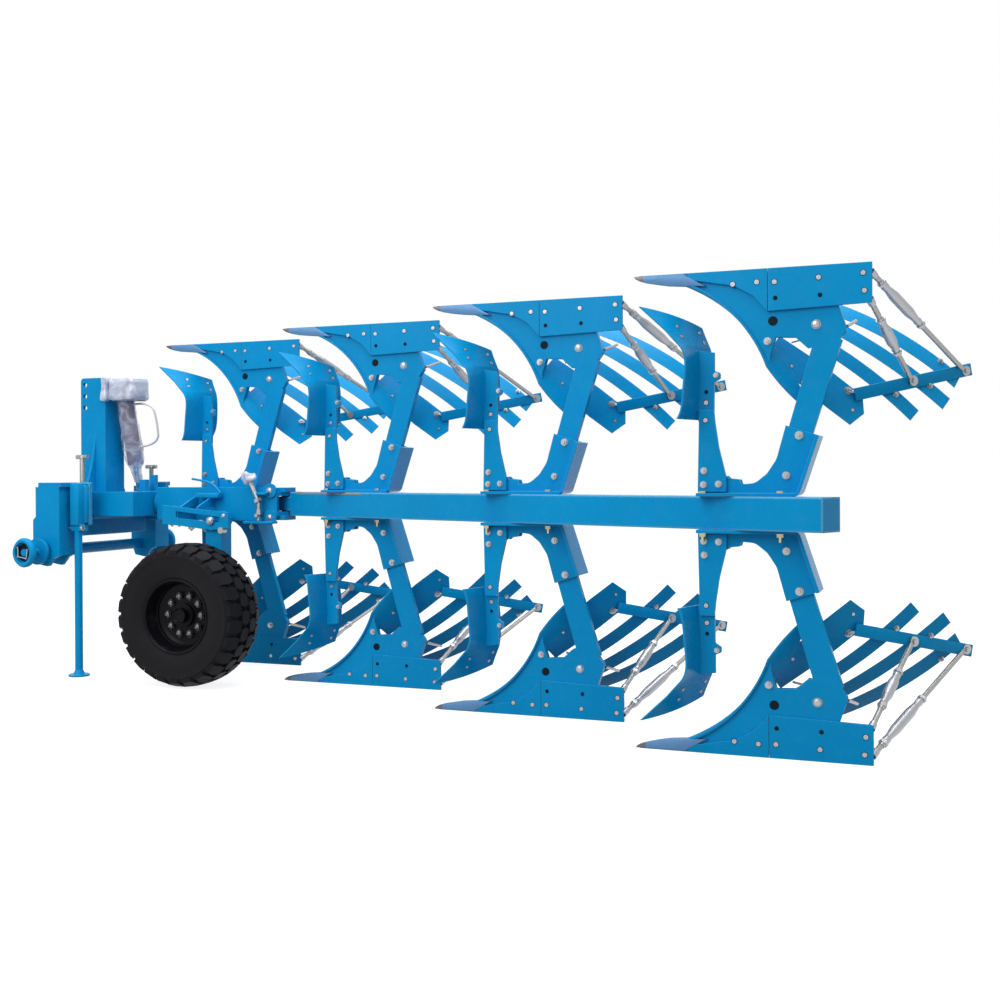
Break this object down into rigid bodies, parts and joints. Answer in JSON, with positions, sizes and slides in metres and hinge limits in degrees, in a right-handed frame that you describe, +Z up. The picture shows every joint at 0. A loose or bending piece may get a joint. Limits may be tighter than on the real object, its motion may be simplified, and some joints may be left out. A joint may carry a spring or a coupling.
{
  "type": "mounted reversible mouldboard plough",
  "caption": "Mounted reversible mouldboard plough: slatted bodies and skimmers above and below a slanting beam, three-point headstock, turnover cylinder, gauge wheel and stand.",
  "frame": {"origin": "bottom centre of the bounding box, on the floor", "axes": "+X forward, the direction of travel; +Y to the left; +Z up"},
  "size_m": [4.4547, 2.0206, 1.74],
  "materials": {
    "paint": "gloss",
    "share_steel": "satin",
    "zinc": "satin",
    "rim": "satin",
    "tyre": "matte"
  },
  "bodies": {
    "headstock": {"bearing_housing": "paint", "headstock_beam": "paint", "tower": "paint", "cheeks": "paint", "link_shaft": "paint", "stand_sleeve": "paint"},
    "turning_frame": {"front_frame": "paint", "crank": "paint", "wheel_bracket": "paint", "leg_bracket_1": "paint", "leg_1": "paint", "landside_1": "paint", "share_1": "share_steel", "shin_1": "paint", "slats_1": "paint", "slat_stays_1": "zinc", "skimmer_arm_1": "paint", "skimmer_1": "paint"},
    "beam": {"main_beam": "paint", "leg_bracket_2": "paint", "leg_2": "paint", "landside_2": "paint", "share_2": "share_steel", "shin_2": "paint", "slats_2": "paint", "slat_stays_2": "zinc", "skimmer_arm_2": "paint", "skimmer_2": "paint", "leg_bracket_3": "paint", "leg_3": "paint", "landside_3": "paint", "share_3": "share_steel", "shin_3": "paint", "slats_3": "paint", "slat_stays_3": "zinc", "skimmer_arm_3": "paint", "skimmer_3": "paint", "leg_bracket_4": "paint", "leg_4": "paint", "landside_4": "paint", "share_4": "share_steel", "shin_4": "paint", "slats_4": "paint", "slat_stays_4": "zinc", "skimmer_arm_4": "paint", "skimmer_4": "paint"},
    "wheel_swing_arm": {"wheel_arm": "paint"},
    "wheel": {"wheel_rim": "rim", "tyre": "tyre"},
    "stand_leg": {"stand": "paint"},
    "barrel": {"cylinder_barrel": "paint", "cylinder_hose": "paint"},
    "rod": {"cylinder_rod": "zinc"}
  },
  "joints": [
    {"name": "turnover", "type": "hinge", "parent": "headstock", "child": "turning_frame", "pos_m": [1.77136, -0.16552, 0.87], "axis": [1, 0, 0], "range_deg": [0, 180]},
    {"name": "beam_swivel", "type": "hinge", "parent": "turning_frame", "child": "beam", "pos_m": [1.05136, -0.25052, 0.87], "axis": [0, 0, 1], "range_deg": [-3, 3]},
    {"name": "wheel_swing", "type": "hinge", "parent": "turning_frame", "child": "wheel_swing_arm", "pos_m": [1.30136, -0.00052, 0.79], "axis": [0, 1, 0], "range_deg": [0, 180]},
    {"name": "wheel_spin", "type": "hinge", "parent": "wheel_swing_arm", "child": "wheel", "pos_m": [1.30136, 0.25648, 0.345], "axis": [0, 1, 0], "continuous": true},
    {"name": "stand_slide", "type": "slide", "parent": "headstock", "child": "stand_leg", "axis": [0, 0, 1], "range_m": [0, 0.4]},
    {"name": "barrel_swing", "type": "hinge", "parent": "headstock", "child": "barrel", "pos_m": [2.00036, -0.16552, 1.47], "axis": [1, 0, 0], "range_deg": [0, 26.27]},
    {"name": "rod_slide", "type": "slide", "parent": "barrel", "child": "rod", "axis": [0, -0.2272, -0.9738], "range_m": [0, 0.12388]}
  ],
  "couplings": [
    {"joint": "barrel_swing", "follows": "turnover", "ratio": 0.14593}
  ]
}
